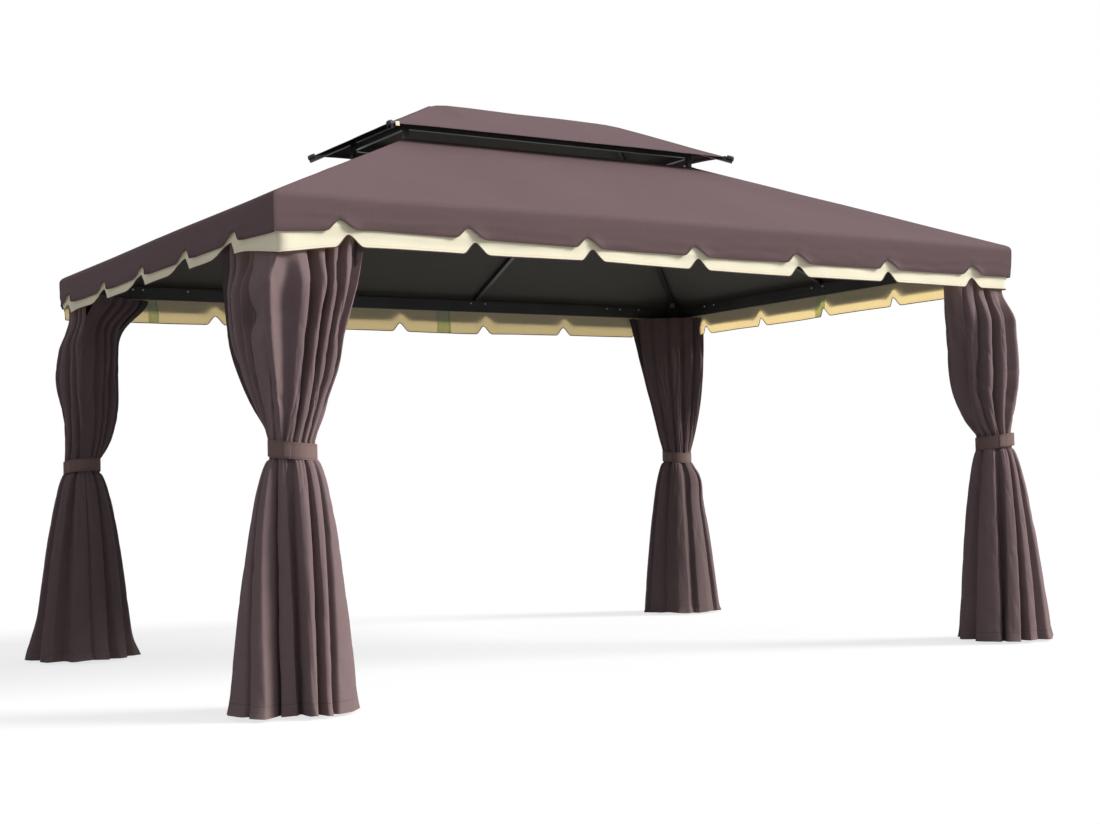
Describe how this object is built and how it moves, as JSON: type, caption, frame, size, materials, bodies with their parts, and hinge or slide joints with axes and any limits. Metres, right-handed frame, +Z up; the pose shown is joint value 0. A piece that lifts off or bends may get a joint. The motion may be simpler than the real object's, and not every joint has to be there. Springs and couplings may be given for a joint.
{
  "type": "soft-top garden gazebo",
  "caption": "Free-standing garden gazebo: steel post frame, two-tier hipped cloth roof, scalloped valance with pale trim, and a tied curtain round each corner post.",
  "frame": {"origin": "on the ground, under the middle of the canopy", "axes": "+X along the long sides, +Y to the back, +Z up"},
  "size_m": [4.34, 3.34, 2.79],
  "materials": {
    "frame_paint": "satin powder coat, dark grey",
    "roof_cloth": "matte woven polyester, brown",
    "trim_cloth": "matte woven polyester, cream",
    "curtain_cloth": "soft woven polyester, brown"
  },
  "bodies": {
    "root": {"post_front_left": "frame_paint", "post_front_right": "frame_paint", "post_back_left": "frame_paint", "post_back_right": "frame_paint", "eave_beam_front": "frame_paint", "eave_beam_back": "frame_paint", "eave_beam_left": "frame_paint", "eave_beam_right": "frame_paint", "curtain_rails": "frame_paint", "hip_rafter_front_left": "frame_paint", "hip_rafter_front_right": "frame_paint", "hip_rafter_back_left": "frame_paint", "hip_rafter_back_right": "frame_paint", "middle_rafters": "frame_paint", "rafter_shoes": "frame_paint", "corner_shoes": "frame_paint", "vent_ring": "frame_paint", "crown_uprights": "frame_paint", "crown_ring": "frame_paint", "crown_ribs": "frame_paint", "crown_ridge": "frame_paint", "roof_panel_front": "roof_cloth", "roof_panel_back": "roof_cloth", "roof_panel_left": "roof_cloth", "roof_panel_right": "roof_cloth", "crown_panel_front": "roof_cloth", "crown_panel_back": "roof_cloth", "crown_panel_left": "roof_cloth", "crown_panel_right": "roof_cloth", "valance_front": "roof_cloth", "valance_back": "roof_cloth", "valance_left": "roof_cloth", "valance_right": "roof_cloth", "trim_front": "trim_cloth", "trim_back": "trim_cloth", "trim_left": "trim_cloth", "trim_right": "trim_cloth", "curtain_front_left": "curtain_cloth", "curtain_front_right": "curtain_cloth", "curtain_back_left": "curtain_cloth", "curtain_back_right": "curtain_cloth", "tie_band_front_left": "curtain_cloth", "tie_band_front_right": "curtain_cloth", "tie_band_back_left": "curtain_cloth", "tie_band_back_right": "curtain_cloth"}
  },
  "joints": []
}
